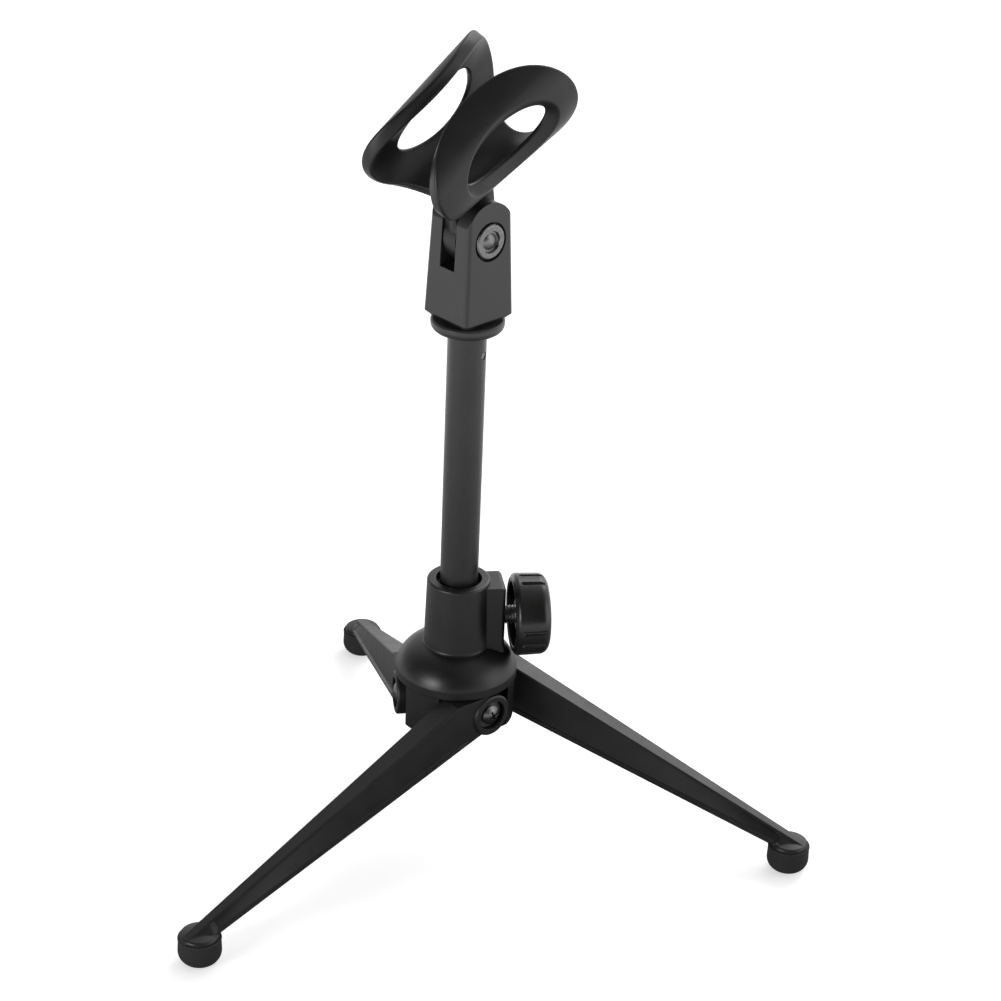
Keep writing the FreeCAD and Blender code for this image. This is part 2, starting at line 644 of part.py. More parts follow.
def jaws_outline():
    """Two elliptical jaws joined by a saddle whose hollow edges are parabolas tangent to them."""
    x = (BLEND_ANGLE - JAW_MID_ANGLE) / JAW_HALF_ANGLE
    blend_length = JAW_HALF_LENGTH * math.sqrt(1 - x ** 2)
    slope = -JAW_HALF_LENGTH * x / (JAW_HALF_ANGLE * math.sqrt(1 - x ** 2))
    control_length = blend_length - BLEND_ANGLE * slope
    start = math.asin(x)
    outline = []
    for side in (1, -1):
        jaw = wall_ellipse(side, JAW_MID_ANGLE, JAW_HALF_ANGLE, 0, JAW_HALF_LENGTH)
        outline.append(Part.Geom2d.ArcOfEllipse2d(jaw, start, math.pi - start))
        hollow = Part.Geom2d.BezierCurve2d()
        hollow.setPoles([wall_point(side * BLEND_ANGLE, -side * blend_length),
                         wall_point(0, -side * control_length),
                         wall_point(-side * BLEND_ANGLE, -side * blend_length)])
        outline.append(hollow)
    return outline


def window_outline(side, share):
    """Outline of a window at a share of the wall's thickness, 0 at its inner face and 1 at its outer."""
    window = wall_ellipse(side,
                          WINDOW_MID_ANGLE + share * FLARE_MID_ANGLE,
                          WINDOW_HALF_ANGLE + share * FLARE_HALF_ANGLE,
                          WINDOW_MIDDLE,
                          WINDOW_HALF_LENGTH + share * FLARE_LENGTH)
    return [Part.Geom2d.ArcOfEllipse2d(window, 0, math.pi),
            Part.Geom2d.ArcOfEllipse2d(window, math.pi, 2 * math.pi)]


def flared_window(side):
    """Cutter for a window, carried on a little past both faces of the wall."""
    inner_r = CRADLE_R - CRADLE_WALL
    past = 0.25
    return wall_solid(window_outline(side, -past), inner_r - past * CRADLE_WALL,
                      window_outline(side, 1 + past), CRADLE_R + past * CRADLE_WALL)


def cradle_wall():
    """Jaws and saddle in one curved, windowed wall with rounded edges, laid along +Y."""
    wall = wall_solid(jaws_outline(), CRADLE_R - CRADLE_WALL, jaws_outline(), CRADLE_R)
    for side in (1, -1):
        wall = wall.cut(flared_window(side))
    edges = [e for e in wall.Edges if e.Length > 2 * CRADLE_WALL]
    wall = wall.makeFillet(CRADLE_EDGE, edges)
    wall.rotate(V(0, 0, 0), V(1, 1, 1), 240)
    wall.rotate(V(0, 0, 0), V(0, 1, 0), CRADLE_LEAN)
    wall.translate(V(0, CRADLE_MIDDLE, CRADLE_AXIS_Z))
    return wall


def make_cradle():
    """Cradle with the slotted swivel's tongue under it and a neck between the two."""
    neck_top = CRADLE_AXIS_Z - CRADLE_R + NECK_SUNK
    tongue = rod(TONGUE_R, V(-TONGUE_HALF, 0, 0), V(1, 0, 0), 2 * TONGUE_HALF)
    neck = slab([V(-TONGUE_HALF, -TONGUE_R, 0), V(-TONGUE_HALF, NECK_NEAR, neck_top),
                 V(-TONGUE_HALF, NECK_FAR, neck_top), V(-TONGUE_HALF, TONGUE_R, 0)],
                V(2 * TONGUE_HALF, 0, 0))
    cradle = cradle_wall().fuse([tongue, neck])
    cradle = cradle.cut(rod(BOLT_R + RUNNING, V(-THROUGH, 0, 0), V(1, 0, 0), 2 * THROUGH)).removeSplitter()
    cradle.rotate(V(0, 0, 0), V(1, 0, 0), CRADLE_TILT)
    cradle.translate(V(0, 0, TILT_Z))
    return cradle


# Clamp, along +X

def make_clamp_insert():
    return ring(CLAMP_SCREW_R + RUNNING, INSERT_R, V(INSERT_INNER_REACH, 0, CLAMP_Z), V(1, 0, 0),
                BLOCK_REACH - INSERT_INNER_REACH)


def make_clamp_pad():
    """Nylon disc between the screw's tip and the tube, hollowed to the tube's radius."""
    start = TUBE_R - 1
    end = TUBE_R + RUNNING + PAD_THICK
    disc = rod(PAD_R, V(start, 0, CLAMP_Z), V(1, 0, 0), end - start)
    return disc.cut(rod(TUBE_R + RUNNING / 2, V(0, 0, CLAMP_Z - 20), UP, 40))


def make_clamp_screw():
    start = TUBE_R + RUNNING + PAD_THICK
    screw = rod(CLAMP_SCREW_R, V(start, 0, CLAMP_Z), V(1, 0, 0), KNOB_FRONT - KNOB_FACE - start)
    tip = [e for e in screw.Edges if e.Closed and e.CenterOfMass.x < start + 0.1]
    return screw.makeChamfer(SCREW_TIP_CHAMFER, tip)


def knob_groove(angle):
    """Round-ended groove cutter along the knob's rim, open at its front face."""
    length = KNOB_FRONT - KNOB_BACK
    cutter = lathe([
        (0, -length),
        (GROOVE_R, -length),
        (GROOVE_R, 0),
        dome(GROOVE_R, 0, GROOVE_R),
    ])
    cutter.rotate(V(0, 0, 0), V(0, 1, 0), -90)
    cutter.translate(V(KNOB_BACK + GROOVE_START, 0, CLAMP_Z) + V(0, math.sin(angle), math.cos(angle)) * KNOB_R)
    return cutter


def knob_grooves():
    grooves = []
    for group in range(GROOVE_GROUPS):
        for step in (-1, 0, 1):
            angle = math.radians(group * 360 / GROOVE_GROUPS + GROOVE_TURN + step * GROOVE_STEP)
            grooves.append(knob_groove(angle))
    return grooves


def make_clamp_knob():
    length = KNOB_FRONT - KNOB_BACK
    rim_bow_r, rim_bow_z = KNOB_RIM_BOW
    front_bow_r, front_bow_z = KNOB_FRONT_BOW
    front_edge_r, front_edge_z = KNOB_FRONT_EDGE
    knob = lathe([
        (CLAMP_SCREW_R, KNOB_BOSS_SUNK),
        (KNOB_BOSS_R, KNOB_BOSS_SUNK),
        (KNOB_BOSS_R + KNOB_DRAFT, KNOB_HOLLOW_DEPTH),
        (KNOB_HOLLOW_R, KNOB_HOLLOW_DEPTH),
        (KNOB_HOLLOW_R + KNOB_DRAFT, rim_bow_z),
        ((KNOB_R - 2 * rim_bow_r, 0), (KNOB_R - rim_bow_r, rim_bow_z)),
        ((KNOB_R - KNOB_DRAFT, KNOB_RIM_SIDE / 2), (KNOB_R, KNOB_RIM_SIDE)),
        (KNOB_R - KNOB_DRAFT, length - KNOB_FRONT_SIDE),
        ((KNOB_R - front_bow_r, length - front_bow_z), (KNOB_R - front_edge_r, length - front_edge_z)),
        dome(KNOB_R - front_edge_r, length - front_edge_z, length),
        (0, length - KNOB_FACE),
        (CLAMP_SCREW_R, length - KNOB_FACE),
    ])
    knob.rotate(V(0, 0, 0), V(0, 1, 0), 90)
    knob.translate(V(KNOB_BACK, 0, CLAMP_Z))
    for groove in knob_grooves():
        knob = knob.cut(groove)
    return knob


# Assembly

def make_all():
    NODES["hub"] = make_hub()
    for index in range(LEG_COUNT):
        number = index + 1
        turn = leg_azimuth(index)
        NODES[f"leg_{number}"] = around(make_leg(), turn)
        NODES[f"foot_{number}"] = around(make_foot(), turn)
        NODES[f"leg_screw_{number}"] = around(make_pivot_screw(), turn)
        NODES[f"leg_washer_{number}"] = around(make_head_washer(), turn)
        NODES[f"leg_spring_washer_{number}"] = around(make_spring_washer(), turn)
    NODES["clamp_insert"] = make_clamp_insert()
    NODES["clamp_pad"] = make_clamp_pad()
    NODES["clamp_screw"] = make_clamp_screw()
    NODES["clamp_knob"] = make_clamp_knob()
    NODES["column_tube"] = make_tube()
    NODES["tube_end_plug"] = make_end_plug()
    NODES["threaded_stud"] = make_stud()
    NODES["stud_pin"] = stud_pin(STUD_PIN_R, TUBE_R - STUD_PIN_SUNK)
    NODES["swivel_base"] = around(make_swivel_base(), TILT_AXIS_AZIMUTH)
    NODES["tilt_bolt"] = around(make_tilt_bolt(), TILT_AXIS_AZIMUTH)
    NODES["tilt_nut"] = around(make_tilt_nut(), TILT_AXIS_AZIMUTH)
    NODES["friction_washer_head_side"] = around(make_friction_washer(1), TILT_AXIS_AZIMUTH)
    NODES["friction_washer_nut_side"] = around(make_friction_washer(-1), TILT_AXIS_AZIMUTH)
    NODES["mic_cradle"] = around(make_cradle(), TILT_AXIS_AZIMUTH)


make_all()
os.makedirs("parts", exist_ok=True)
for name, shape in NODES.items():
    shape.exportStep(f"parts/{name}.step")
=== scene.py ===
import json
import math
import bmesh
import bpy
from mathutils import Matrix, Vector


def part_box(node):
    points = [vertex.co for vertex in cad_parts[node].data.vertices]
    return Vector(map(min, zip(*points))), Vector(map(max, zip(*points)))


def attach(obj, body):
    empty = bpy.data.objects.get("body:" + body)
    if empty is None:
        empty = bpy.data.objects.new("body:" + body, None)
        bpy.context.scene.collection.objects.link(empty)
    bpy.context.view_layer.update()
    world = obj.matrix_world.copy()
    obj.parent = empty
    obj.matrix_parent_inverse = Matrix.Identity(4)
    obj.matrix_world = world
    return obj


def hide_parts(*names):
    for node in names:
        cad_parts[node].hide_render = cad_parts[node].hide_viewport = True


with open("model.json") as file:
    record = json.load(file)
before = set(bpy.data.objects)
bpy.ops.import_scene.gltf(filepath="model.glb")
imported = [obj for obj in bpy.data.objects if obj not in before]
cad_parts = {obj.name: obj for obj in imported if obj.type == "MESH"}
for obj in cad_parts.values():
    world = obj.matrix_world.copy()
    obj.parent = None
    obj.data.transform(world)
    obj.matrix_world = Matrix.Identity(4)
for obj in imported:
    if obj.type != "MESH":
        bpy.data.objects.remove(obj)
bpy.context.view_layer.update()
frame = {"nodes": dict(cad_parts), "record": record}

# Look of the desktop microphone stand: finishes for the CAD pieces, a soft studio and the camera.
# Metres, in the frame's own axes: origin on the table under the column, +Z up, +X towards the knob.

MM = 0.001

# Camera: a long lens looking down at the stand from the side where the cradle opens
LENS_MM = 100.1
SENSOR_MM = 36.0
CAMERA_DISTANCE = 874.2 * MM
CAMERA_ELEVATION = 28.18      # degrees above the table
CAMERA_AZIMUTH = -98.0        # degrees from +X to where the camera stands
CAMERA_AIM = Vector((0, 0, 100 * MM))
CAMERA_PAN = -0.80            # small turns away from the aim, in degrees
CAMERA_TILT = 1.035
CAMERA_ROLL = -1.94
NEAREST_SEEN = 10 * MM

# Cradle: how its real wall differs from the plain tube wall of the frame
CRADLE_WALL = 4.2 * MM
CRADLE_TAPER = 3.3            # half angle of the tapered wall, in degrees

# Rubber feet
SOLE_ROUND_SHARE = 0.62       # radius of the sole's rounding, as a share of the foot's own
SOLE_DISH = 0.35 * MM
DISH_SHARE = 0.20             # radius of the sole's dish, as a share of the foot's
RING_SHARE = 0.26             # and of the ring around it
SOLE_LEAST = 0.5 * MM         # a foot's socket ends at least this far above the table
LIP_R = 0.45 * MM
LIP_NECK = 0.12 * MM          # how far the side draws in under the lip
LIP_HEIGHT = 3.2 * LIP_R      # from the foot's top down to where the side draws in

# Clamp screw
THREAD_PITCH = 1.0 * MM
THREAD_DEPTH = 0.55 * MM
THREAD_STEEPNESS = 2.4        # how quickly the thread climbs from its root to its flat crest

# Floor
FLOOR_SIZE = 12.0
FLOOR_GAP = 0.05 * MM         # below the feet
FLOOR_TONES = (0.93, 0.95)
FLOOR_CLOUD = 80 * MM
FLOOR_GLOW = 0.55             # part of the floor's paleness that shadows do not reach
FLOOR_NEAR = 0.05             # glow that the stand's own reflections see of the floor close to it, a painted shadow
FLOOR_FAR = 1.35              # and further away, a painted glow
NEAR_R = 60 * MM
FAR_R = 420 * MM

# Room
BRIGHT_SIDE = -35.0           # degrees that the brightest part of the room is left of straight behind
BRIGHT_SLOPE = -0.25          # and its slope, which is negative below the horizon
DIM_FACING = -0.8             # how squarely a direction faces the brightest part, where the room is dimmest
BRIGHT_FACING = 0.9           # and where it is brightest
ROOM_DIM = 0.06
ROOM_BRIGHT = 1.0

# Soft boxes: directions in degrees, the azimuth from the camera's, then metres and watts
LIGHT_AIM = Vector((0, 0, 0.12))
RIGHT_BOX = {"azimuth": 75, "elevation": 15, "distance": 1.3, "size": 0.9, "power": 3}
LEFT_BOX = {"azimuth": -45, "elevation": 12, "distance": 1.3, "size": 0.5, "power": 8}
BACK_BOX = {"azimuth": 150, "elevation": 40, "distance": 1.5, "size": 1.0, "power": 8}

# Materials: tones are linear, from 0 for black to 1 for white
BEVEL_SAMPLES = 4
EDGE_FULL = 0.80              # cosine between rounded and true normal on a fully paler edge: wear, and on plastics also a painted highlight
EDGE_NONE = 0.94              # and where the paler edge ends
CLOUD_SIZE = 9 * MM
CLOUDINESS = 0.15             # how far clouds take a plastic's tone up and down
SHEEN_CHANGE = 0.05           # and its roughness
WEAR_AND_HIGHLIGHT_PATCH = 1.5 * MM
WEAR_AND_HIGHLIGHT_LEAST = 0.35             # the part of the paler edge, wear and painted highlight, that no patch goes below
WEAR_AND_HIGHLIGHT_LIFT = 1.5               # a paler edge's tone as a multiple of the plastic's, partly wear and partly a painted highlight
MARK_SIZE = 0.8 * MM
STEEL_EDGE_LIFT = 2.2
STEEL_EDGE_MOST = 0.9
PEEL_SIZE = 1.6 * MM
PEEL_DEPTH = 0.03 * MM
TUBE_CLOUD = 12 * MM
TUBE_TONES = (0.012, 0.017)
TUBE_EDGE_TONE = 0.05

# Meshes
SHARP_ANGLE = 35              # degrees between faces from which their edge is drawn sharp
SAME_POINT = 0.001 * MM
SAME_HEIGHT = 0.01 * MM
SAME_RADIUS = 0.05 * MM
LATHE_STEPS = 96
THREAD_STEPS_ROUND = 40
THREAD_STEPS_PITCH = 10


def turned(vector, axis, degrees):
    return Matrix.Rotation(math.radians(degrees), 3, axis) @ vector


# Materials

class Shader:
    """A node tree with a Principled surface, and short ways to add and join nodes."""

    def __init__(self, name):
        self.material = bpy.data.materials.new(name)
        self.material.use_nodes = True
        self.tree = self.material.node_tree
        self.surface = self.tree.nodes["Principled BSDF"]
        self.place = self.tree.nodes.new("ShaderNodeTexCoord").outputs["Object"]

    def join(self, source, target):
        self.tree.links.new(source, target)

    def noise(self, size, detail=3.0):
        """Noise whose blobs are about size metres across."""
        node = self.tree.nodes.new("ShaderNodeTexNoise")
        node.inputs["Scale"].default_value = 1.0 / size
        node.inputs["Detail"].default_value = detail
        self.join(self.place, node.inputs["Vector"])
        return node.outputs["Fac"]

    def spread(self, source, low, high, start=0.3, end=0.7):
        """Maps a value from start..end to low..high; noise mostly lies between 0.3 and 0.7."""
        node = self.tree.nodes.new("ShaderNodeMapRange")
        node.inputs["From Min"].default_value = start
        node.inputs["From Max"].default_value = end
        node.inputs["To Min"].default_value = low
        node.inputs["To Max"].default_value = high
        self.join(source, node.inputs["Value"])
        return node.outputs["Result"]

    def times(self, first, second):
        node = self.tree.nodes.new("ShaderNodeMath")
        node.operation = "MULTIPLY"
        self.join(first, node.inputs[0])
        self.join(second, node.inputs[1])
        return node.outputs["Value"]

    def mix(self, share, first, second):
        node = self.tree.nodes.new("ShaderNodeMix")
        node.data_type = "RGBA"
        for value, socket in ((first, node.inputs["A"]), (second, node.inputs["B"])):
            if isinstance(value, tuple):
                socket.default_value = value
            else:
                self.join(value, socket)
        self.join(share, node.inputs["Factor"])
        return node.outputs["Result"]

    def rounded_normal(self, radius):
        node = self.tree.nodes.new("ShaderNodeBevel")
        node.samples = BEVEL_SAMPLES
        node.inputs["Radius"].default_value = radius
        return node.outputs["Normal"]

    def edge_mask(self, rounded):
        """1 along the edges, where the rounded normal leaves the true one, and 0 elsewhere."""
        geometry = self.tree.nodes.new("ShaderNodeNewGeometry")
        dot = self.tree.nodes.new("ShaderNodeVectorMath")
        dot.operation = "DOT_PRODUCT"
        self.join(rounded, dot.inputs[0])
        self.join(geometry.outputs["Normal"], dot.inputs[1])
        return self.spread(dot.outputs["Value"], 1.0, 0.0, EDGE_FULL, EDGE_NONE)

    def bump(self, height, strength, distance, normal=None):
        node = self.tree.nodes.new("ShaderNodeBump")
        node.inputs["Strength"].default_value = strength
        node.inputs["Distance"].default_value = distance
        self.join(height, node.inputs["Height"])
        if normal:
            self.join(normal, node.inputs["Normal"])
        return node.outputs["Normal"]


def grey(value, tint=(1.0, 1.0, 1.0)):
    return tuple(value * t for t in tint) + (1.0,)


def moulded(name, tone, roughness, grain=0.35 * MM, depth=0.02 * MM, edge=0.3 * MM, tint=(1, 1, 1.03),
            specular=0.5, rub_and_highlight=0.03):
    """Moulded black plastic: fine spark grain, cloudy sheen, and edges a little paler, partly from wear and
    partly a painted highlight.
    """
    s = Shader(name)
    cloud = s.noise(CLOUD_SIZE)
    fine = s.noise(grain, 2.0)
    rounded = s.rounded_normal(edge)
    worn_and_highlit = s.edge_mask(rounded)
    darker = grey(tone * (1 - CLOUDINESS), tint)
    paler = grey(tone * (1 + CLOUDINESS), tint)
    body = s.mix(s.spread(cloud, 0, 1), darker, paler)
    # Paler edges: partly wear, partly a painted highlight along edges that catch the light
    patchy = s.times(worn_and_highlit, s.spread(s.noise(WEAR_AND_HIGHLIGHT_PATCH), WEAR_AND_HIGHLIGHT_LEAST, 1.0))
    s.join(s.mix(patchy, body, grey(tone * WEAR_AND_HIGHLIGHT_LIFT + rub_and_highlight, tint)), s.surface.inputs["Base Color"])
    sheen = s.spread(cloud, roughness - SHEEN_CHANGE, roughness + SHEEN_CHANGE)
    s.join(sheen, s.surface.inputs["Roughness"])
    s.join(s.bump(fine, 0.5, depth, rounded), s.surface.inputs["Normal"])
    s.surface.inputs["Specular IOR Level"].default_value = specular
    return s.material


def hub_plastic():
    return moulded("hub plastic", tone=0.008, roughness=0.38, depth=0.035 * MM)


def leg_plastic():
    return moulded("leg plastic", tone=0.012, roughness=0.40, depth=0.035 * MM)


def knob_plastic():
    return moulded("knob plastic", tone=0.010, roughness=0.26, depth=0.008 * MM, tint=(1, 1, 0.94))


def clip_plastic():
    return moulded("clip plastic", tone=0.016, roughness=0.42)


def cradle_plastic():
    return moulded("cradle plastic", tone=0.010, roughness=0.40, tint=(0.97, 1, 1), specular=0.36)


def nylon():
    return moulded("nylon", tone=0.03, roughness=0.5)


def rubber():
    return moulded("rubber", tone=0.028, roughness=0.7, grain=0.6 * MM, depth=0.04 * MM, specular=0.35)


def black_tube():
    """Satin powder coat with faint orange peel, paler from wear at the ends of the tube."""
    s = Shader("black tube")
    peel = s.noise(PEEL_SIZE, 1.0)
    cloud = s.noise(TUBE_CLOUD)
    rounded = s.rounded_normal(0.3 * MM)
    darker, paler = TUBE_TONES
    body = s.mix(s.spread(cloud, 0, 1), grey(darker), grey(paler))
    s.join(s.mix(s.edge_mask(rounded), body, grey(TUBE_EDGE_TONE)), s.surface.inputs["Base Color"])
    s.join(s.spread(peel, 0.30, 0.38), s.surface.inputs["Roughness"])
    s.join(s.bump(peel, 0.25, PEEL_DEPTH, rounded), s.surface.inputs["Normal"])
    return s.material


def plated_steel(name, tone, roughness):
    """Plated steel with small marks and bright edges."""
    s = Shader(name)
    marks = s.noise(MARK_SIZE, 4.0)
    rounded = s.rounded_normal(0.15 * MM)
    body = s.mix(s.spread(marks, 0, 1), grey(tone * 0.8), grey(tone * 1.2))
    bright = grey(min(tone * STEEL_EDGE_LIFT, STEEL_EDGE_MOST))
    s.join(s.mix(s.edge_mask(rounded), body, bright), s.surface.inputs["Base Color"])
    s.surface.inputs["Metallic"].default_value = 1.0
    s.join(s.spread(marks, roughness - 0.06, roughness + 0.08), s.surface.inputs["Roughness"])
    s.join(s.bump(marks, 0.3, 0.01 * MM, rounded), s.surface.inputs["Normal"])
    return s.material


def dark_steel():
    return plated_steel("dark steel", tone=0.16, roughness=0.30)


def zinc_steel():
    return plated_steel("zinc steel", tone=0.32, roughness=0.34)


def stud_metal():
    """Black paint over the stud's metal, which reflects like a plastic."""
    return moulded("stud metal", tone=0.028, roughness=0.38)


def brass():
    """Machined brass, a little tarnished in patches."""
    s = Shader("brass")
    marks = s.noise(MARK_SIZE, 4.0)
    tarnished = (0.55, 0.38, 0.14, 1)
    clean = (0.72, 0.53, 0.24, 1)
    s.join(s.mix(s.spread(marks, 0, 1), tarnished, clean), s.surface.inputs["Base Color"])
    s.surface.inputs["Metallic"].default_value = 1.0
    s.join(s.spread(marks, 0.25, 0.4), s.surface.inputs["Roughness"])
    s.join(s.bump(marks, 0.3, 0.01 * MM), s.surface.inputs["Normal"])
    return s.material


FINISHES = {
    "hub_plastic": hub_plastic(),
    "leg_plastic": leg_plastic(),
    "knob_plastic": knob_plastic(),
    "clip_plastic": clip_plastic(),
    "cradle_plastic": cradle_plastic(),
    "nylon": nylon(),
    "rubber": rubber(),
    "black_tube": black_tube(),
    "dark_steel": dark_steel(),
    "zinc_steel": zinc_steel(),
    "stud_metal": stud_metal(),
    "brass": brass(),
}


def finish_cad_nodes():
    for subpart in frame["record"]["subparts"]:
        piece = frame["nodes"][subpart["node"]]
        piece.data.materials.clear()
        piece.data.materials.append(FINISHES[subpart["material_slot"]])


# Pieces modelled more finely than in the frame

def mount(name):
    return next(m for m in frame["record"]["mounts"] if m["name"] == name)


def smooth_step(value, start, end):
    share = min(max((value - start) / (end - start), 0.0), 1.0)
    return share * share * (3 - 2 * share)


def add_piece(name, mesh, body, slot, *nodes):
    """Puts a mesh in the scene as a piece that rides on a body, in place of the frame's nodes."""
    mesh.set_sharp_from_angle(angle=math.radians(SHARP_ANGLE))
    mesh.materials.clear()
    mesh.materials.append(FINISHES[slot])
    piece = bpy.data.objects.new(name, mesh)
    bpy.context.scene.collection.objects.link(piece)
    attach(piece, body)
    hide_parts(*nodes)


def lathe_mesh(name, profile, centre, axis):
    """Closed mesh turned about an axis through centre, from (radius, height) points.

    The first and the last point lie on the axis.
    """
    z = Vector(axis).normalized()
    x = z.orthogonal().normalized()
    y = z.cross(x)
    build = bmesh.new()
    rings = []
    for radius, height in profile:
        middle = Vector(centre) + z * height
        if radius == 0:
            rings.append([build.verts.new(middle)])
            continue
        ring = []
        for k in range(LATHE_STEPS):
            turn = 2 * math.pi * k / LATHE_STEPS
            ring.append(build.verts.new(middle + x * radius * math.cos(turn) + y * radius * math.sin(turn)))
        rings.append(ring)
    for low, high in zip(rings, rings[1:]):
        for k in range(LATHE_STEPS):
            after = k + 1
            corners = [low[k % len(low)], low[after % len(low)]]
            corners += [high[after % len(high)], high[k % len(high)]]
            build.faces.new(list(dict.fromkeys(corners)))
    return finished_mesh(name, build)


def finished_mesh(name, build):
    bmesh.ops.recalc_face_normals(build, faces=build.faces)
    for face in build.faces:
        face.smooth = True
    mesh = bpy.data.meshes.new(name)
    build.to_mesh(mesh)
    build.free()
    return mesh


def arc(centre_r, centre_h, radius, start, end, steps):
    """Points of a circular arc in a lathe profile, from start to end degrees."""
    points = []
    for k in range(steps + 1):
        turn = math.radians(start + (end - start) * k / steps)
        points.append((centre_r + radius * math.cos(turn), centre_h + radius * math.sin(turn)))
    return points


def socket_size(node, centre):
    """Radius and floor height of the round hole in the top of a foot, measured on its mesh."""
    low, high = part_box(node)
    corners = [v.co for v in frame["nodes"][node].data.vertices]
    top = [corner for corner in corners if high.z - corner.z < SAME_HEIGHT]
    radius = min((corner - centre).xy.length for corner in top)
    hole = [corner for corner in corners if (corner - centre).xy.length < radius + SAME_RADIUS]
    floor = min(corner.z for corner in hole if corner.z > low.z + SOLE_LEAST)
    return radius, floor - low.z


def make_rubber_foot(number):
    """Pushed-on rubber cap with a barrelled side, a rolled lip at the top and a ring on its dished sole."""
    node = f"foot_{number}"
    low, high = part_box(node)
    centre = Vector(((low.x + high.x) / 2, (low.y + high.y) / 2, low.z))
    radius = (high.x - low.x) / 2
    height = high.z - low.z
    socket_r, socket_floor = socket_size(node, centre)
    sole_round = radius * SOLE_ROUND_SHARE
    profile = [(0, SOLE_DISH), (radius * DISH_SHARE, SOLE_DISH), (radius * RING_SHARE, 0)]
    profile += arc(radius - sole_round, sole_round, sole_round, -90, 0, 14)
    profile += [(radius - LIP_NECK, height - LIP_HEIGHT)]
    profile += arc(radius - LIP_R, height - LIP_R, LIP_R, -20, 90, 10)
    profile += [(socket_r, height), (socket_r, socket_floor), (0, socket_floor)]
    mesh = lathe_mesh(node, profile, centre, (0, 0, 1))
    add_piece(f"rubber_{node}", mesh, f"leg_{number}", "rubber", node)


def make_cradle():
    """The cradle with its real taper, wider towards the microphone's head; its tongue is left alone."""
    bore = mount("mic_cradle_bore")
    along = Vector(bore["axis"]).normalized()
    middle = Vector(bore["pos_m"])
    wall_outside = bore["dims"]["r_mm"] * MM + CRADLE_WALL
    build = bmesh.new()
    build.from_mesh(frame["nodes"]["mic_cradle"].data)
    bmesh.ops.remove_doubles(build, verts=build.verts, dist=SAME_POINT)
    for vertex in build.verts:
        offset = vertex.co - middle
        length = offset.dot(along)
        radial = offset - along * length
        in_wall = 1 - smooth_step(radial.length, wall_outside, wall_outside + CRADLE_WALL)
        wider = math.tan(math.radians(CRADLE_TAPER)) * length * in_wall
        vertex.co += radial.normalized() * wider
    mesh = finished_mesh("tapered_cradle", build)
    add_piece("tapered_cradle", mesh, "cradle", "cradle_plastic", "mic_cradle")


def thread_ring(build, x, start, radius, centre):
    """Ring of points round the threaded screw at x; the screw tapers off at its start."""
    taper = THREAD_DEPTH * (1 - smooth_step(x, start, start + THREAD_PITCH))
    ring = []
    for k in range(THREAD_STEPS_ROUND):
        turn = 2 * math.pi * k / THREAD_STEPS_ROUND
        phase = ((x - start) / THREAD_PITCH - k / THREAD_STEPS_ROUND) % 1.0
        crest = min(abs(phase - 0.5) * THREAD_STEEPNESS, 1.0)
        r = radius - THREAD_DEPTH * (1 - crest) - taper
        ring.append(build.verts.new((x, centre.y + r * math.cos(turn), centre.z + r * math.sin(turn))))
    return ring


def make_clamp_thread():
    """Clamp screw with its thread, in place of the plain rod."""
    low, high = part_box("clamp_screw")
    radius = (high.z - low.z) / 2
    centre = (low + high) / 2
    rows = int((high.x - low.x) / THREAD_PITCH * THREAD_STEPS_PITCH)
    build = bmesh.new()
    rings = []
    for row in range(rows + 1):
        x = low.x + (high.x - low.x) * row / rows
        rings.append(thread_ring(build, x, low.x, radius, centre))
    for near, far in zip(rings, rings[1:]):
        for k in range(THREAD_STEPS_ROUND):
            after = (k + 1) % THREAD_STEPS_ROUND
            build.faces.new((near[k], near[after], far[after], far[k]))
    build.faces.new(rings[0])
    build.faces.new(rings[-1])
    mesh = finished_mesh("threaded_clamp_screw", build)
    add_piece("threaded_clamp_screw", mesh, "clamp_knob", "zinc_steel", "clamp_screw")


# Studio

def floor_material():
    """Pale, softly glowing table to the camera; reflections see a painted glow instead, with a painted
    shadow that darkens it near the stand.

    The stand's black plastic then shows the dark and bright parts of a product photograph's studio.
    """
    s = Shader("pale floor")
    nodes = s.tree.nodes
    darker, paler = FLOOR_TONES
    pale = s.mix(s.spread(s.noise(FLOOR_CLOUD), 0, 1), grey(darker), grey(paler))
    s.join(pale, s.surface.inputs["Base Color"])
    s.join(pale, s.surface.inputs["Emission Color"])
    s.surface.inputs["Emission Strength"].default_value = FLOOR_GLOW
    s.surface.inputs["Roughness"].default_value = 0.9
    s.surface.inputs["Specular IOR Level"].default_value = 0.0
    distance = nodes.new("ShaderNodeVectorMath")
    distance.operation = "LENGTH"
    s.join(s.place, distance.inputs[0])
    # What reflections see of the floor: a painted glow, with a painted shadow close to the stand
    reflected_glow_and_painted_shadow = nodes.new("ShaderNodeEmission")
    fall = s.spread(distance.outputs["Value"], FLOOR_NEAR, FLOOR_FAR, NEAR_R, FAR_R)
    s.join(fall, reflected_glow_and_painted_shadow.inputs["Strength"])
    either = nodes.new("ShaderNodeMixShader")
    s.join(nodes.new("ShaderNodeLightPath").outputs["Is Camera Ray"], either.inputs["Fac"])
    s.join(reflected_glow_and_painted_shadow.outputs["Emission"], either.inputs[1])
    s.join(s.surface.outputs["BSDF"], either.inputs[2])
    s.join(either.outputs["Shader"], nodes["Material Output"].inputs["Surface"])
    return s.material


def make_floor():
    bpy.ops.mesh.primitive_plane_add(size=FLOOR_SIZE)
    floor = bpy.context.object
    floor.name = "floor"
    floor.location.z = -FLOOR_GAP
    floor.data.materials.append(floor_material())


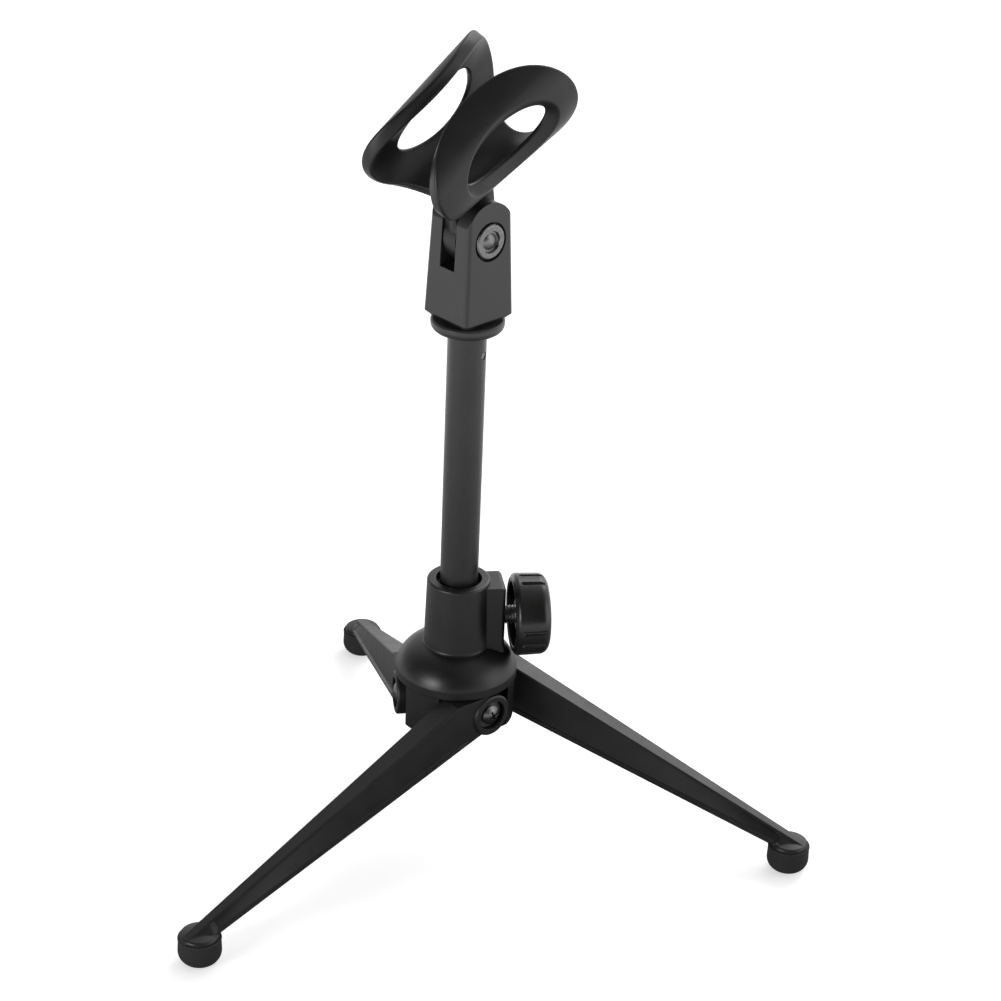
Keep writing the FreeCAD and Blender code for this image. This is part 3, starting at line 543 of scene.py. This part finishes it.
def make_surroundings():
    """Soft room light, brightest behind and beside the stand; the camera itself sees an even pale wall."""
    world = bpy.data.worlds.new("studio")
    world.use_nodes = True
    nodes = world.node_tree.nodes
    links = world.node_tree.links
    away = math.radians(CAMERA_AZIMUTH + 180 + BRIGHT_SIDE)
    direction = nodes.new("ShaderNodeTexCoord").outputs["Generated"]
    facing = nodes.new("ShaderNodeVectorMath")
    facing.operation = "DOT_PRODUCT"
    facing.inputs[1].default_value = (math.cos(away), math.sin(away), BRIGHT_SLOPE)
    links.new(direction, facing.inputs[0])
    fall = nodes.new("ShaderNodeMapRange")
    fall.interpolation_type = "SMOOTHSTEP"
    fall.inputs["From Min"].default_value = DIM_FACING
    fall.inputs["From Max"].default_value = BRIGHT_FACING
    fall.inputs["To Min"].default_value = ROOM_DIM
    fall.inputs["To Max"].default_value = ROOM_BRIGHT
    links.new(facing.outputs["Value"], fall.inputs["Value"])
    seen = nodes.new("ShaderNodeMix")
    seen.inputs["B"].default_value = ROOM_BRIGHT
    links.new(nodes.new("ShaderNodeLightPath").outputs["Is Camera Ray"], seen.inputs["Factor"])
    links.new(fall.outputs["Result"], seen.inputs["A"])
    background = nodes["Background"]
    background.inputs["Color"].default_value = (1, 1, 1, 1)
    links.new(seen.outputs["Result"], background.inputs["Strength"])
    bpy.context.scene.world = world


def soft_box(name, azimuth, elevation, distance, size, power):
    """Square area light around the stand, facing its middle."""
    data = bpy.data.lights.new(name, "AREA")
    data.size = size
    data.energy = power
    light = bpy.data.objects.new(name, data)
    bpy.context.scene.collection.objects.link(light)
    a = math.radians(CAMERA_AZIMUTH + azimuth)
    e = math.radians(elevation)
    way = Vector((math.cos(a) * math.cos(e), math.sin(a) * math.cos(e), math.sin(e)))
    light.location = LIGHT_AIM + way * distance
    light.rotation_euler = way.to_track_quat("Z", "Y").to_euler()


def make_studio():
    make_surroundings()
    make_floor()
    soft_box("right soft box", **RIGHT_BOX)
    soft_box("left soft box", **LEFT_BOX)
    soft_box("back soft box", **BACK_BOX)
    bpy.context.scene.view_settings.view_transform = "Standard"


def make_camera():
    """Camera placed by its distance and angles from the aim, then turned by its pan, tilt and roll."""
    azimuth = math.radians(CAMERA_AZIMUTH)
    elevation = math.radians(CAMERA_ELEVATION)
    forward = -Vector((math.cos(azimuth) * math.cos(elevation), math.sin(azimuth) * math.cos(elevation),
                       math.sin(elevation)))
    right = forward.cross(Vector((0, 0, 1))).normalized()
    up = right.cross(forward)
    place = CAMERA_AIM - forward * CAMERA_DISTANCE
    forward, right = turned(forward, up, CAMERA_PAN), turned(right, up, CAMERA_PAN)
    forward, up = turned(forward, right, CAMERA_TILT), turned(up, right, CAMERA_TILT)
    right, up = turned(right, forward, CAMERA_ROLL), turned(up, forward, CAMERA_ROLL)
    data = bpy.data.cameras.new("camera")
    data.lens = LENS_MM
    data.sensor_width = SENSOR_MM
    data.clip_start = NEAREST_SEEN
    camera = bpy.data.objects.new("camera", data)
    bpy.context.scene.collection.objects.link(camera)
    camera.matrix_world = Matrix((
        (right.x, up.x, -forward.x, place.x),
        (right.y, up.y, -forward.y, place.y),
        (right.z, up.z, -forward.z, place.z),
        (0, 0, 0, 1),
    ))
    bpy.context.scene.camera = camera


finish_cad_nodes()
make_cradle()
make_clamp_thread()
for foot_number in (1, 2, 3):
    make_rubber_foot(foot_number)
make_studio()
make_camera()
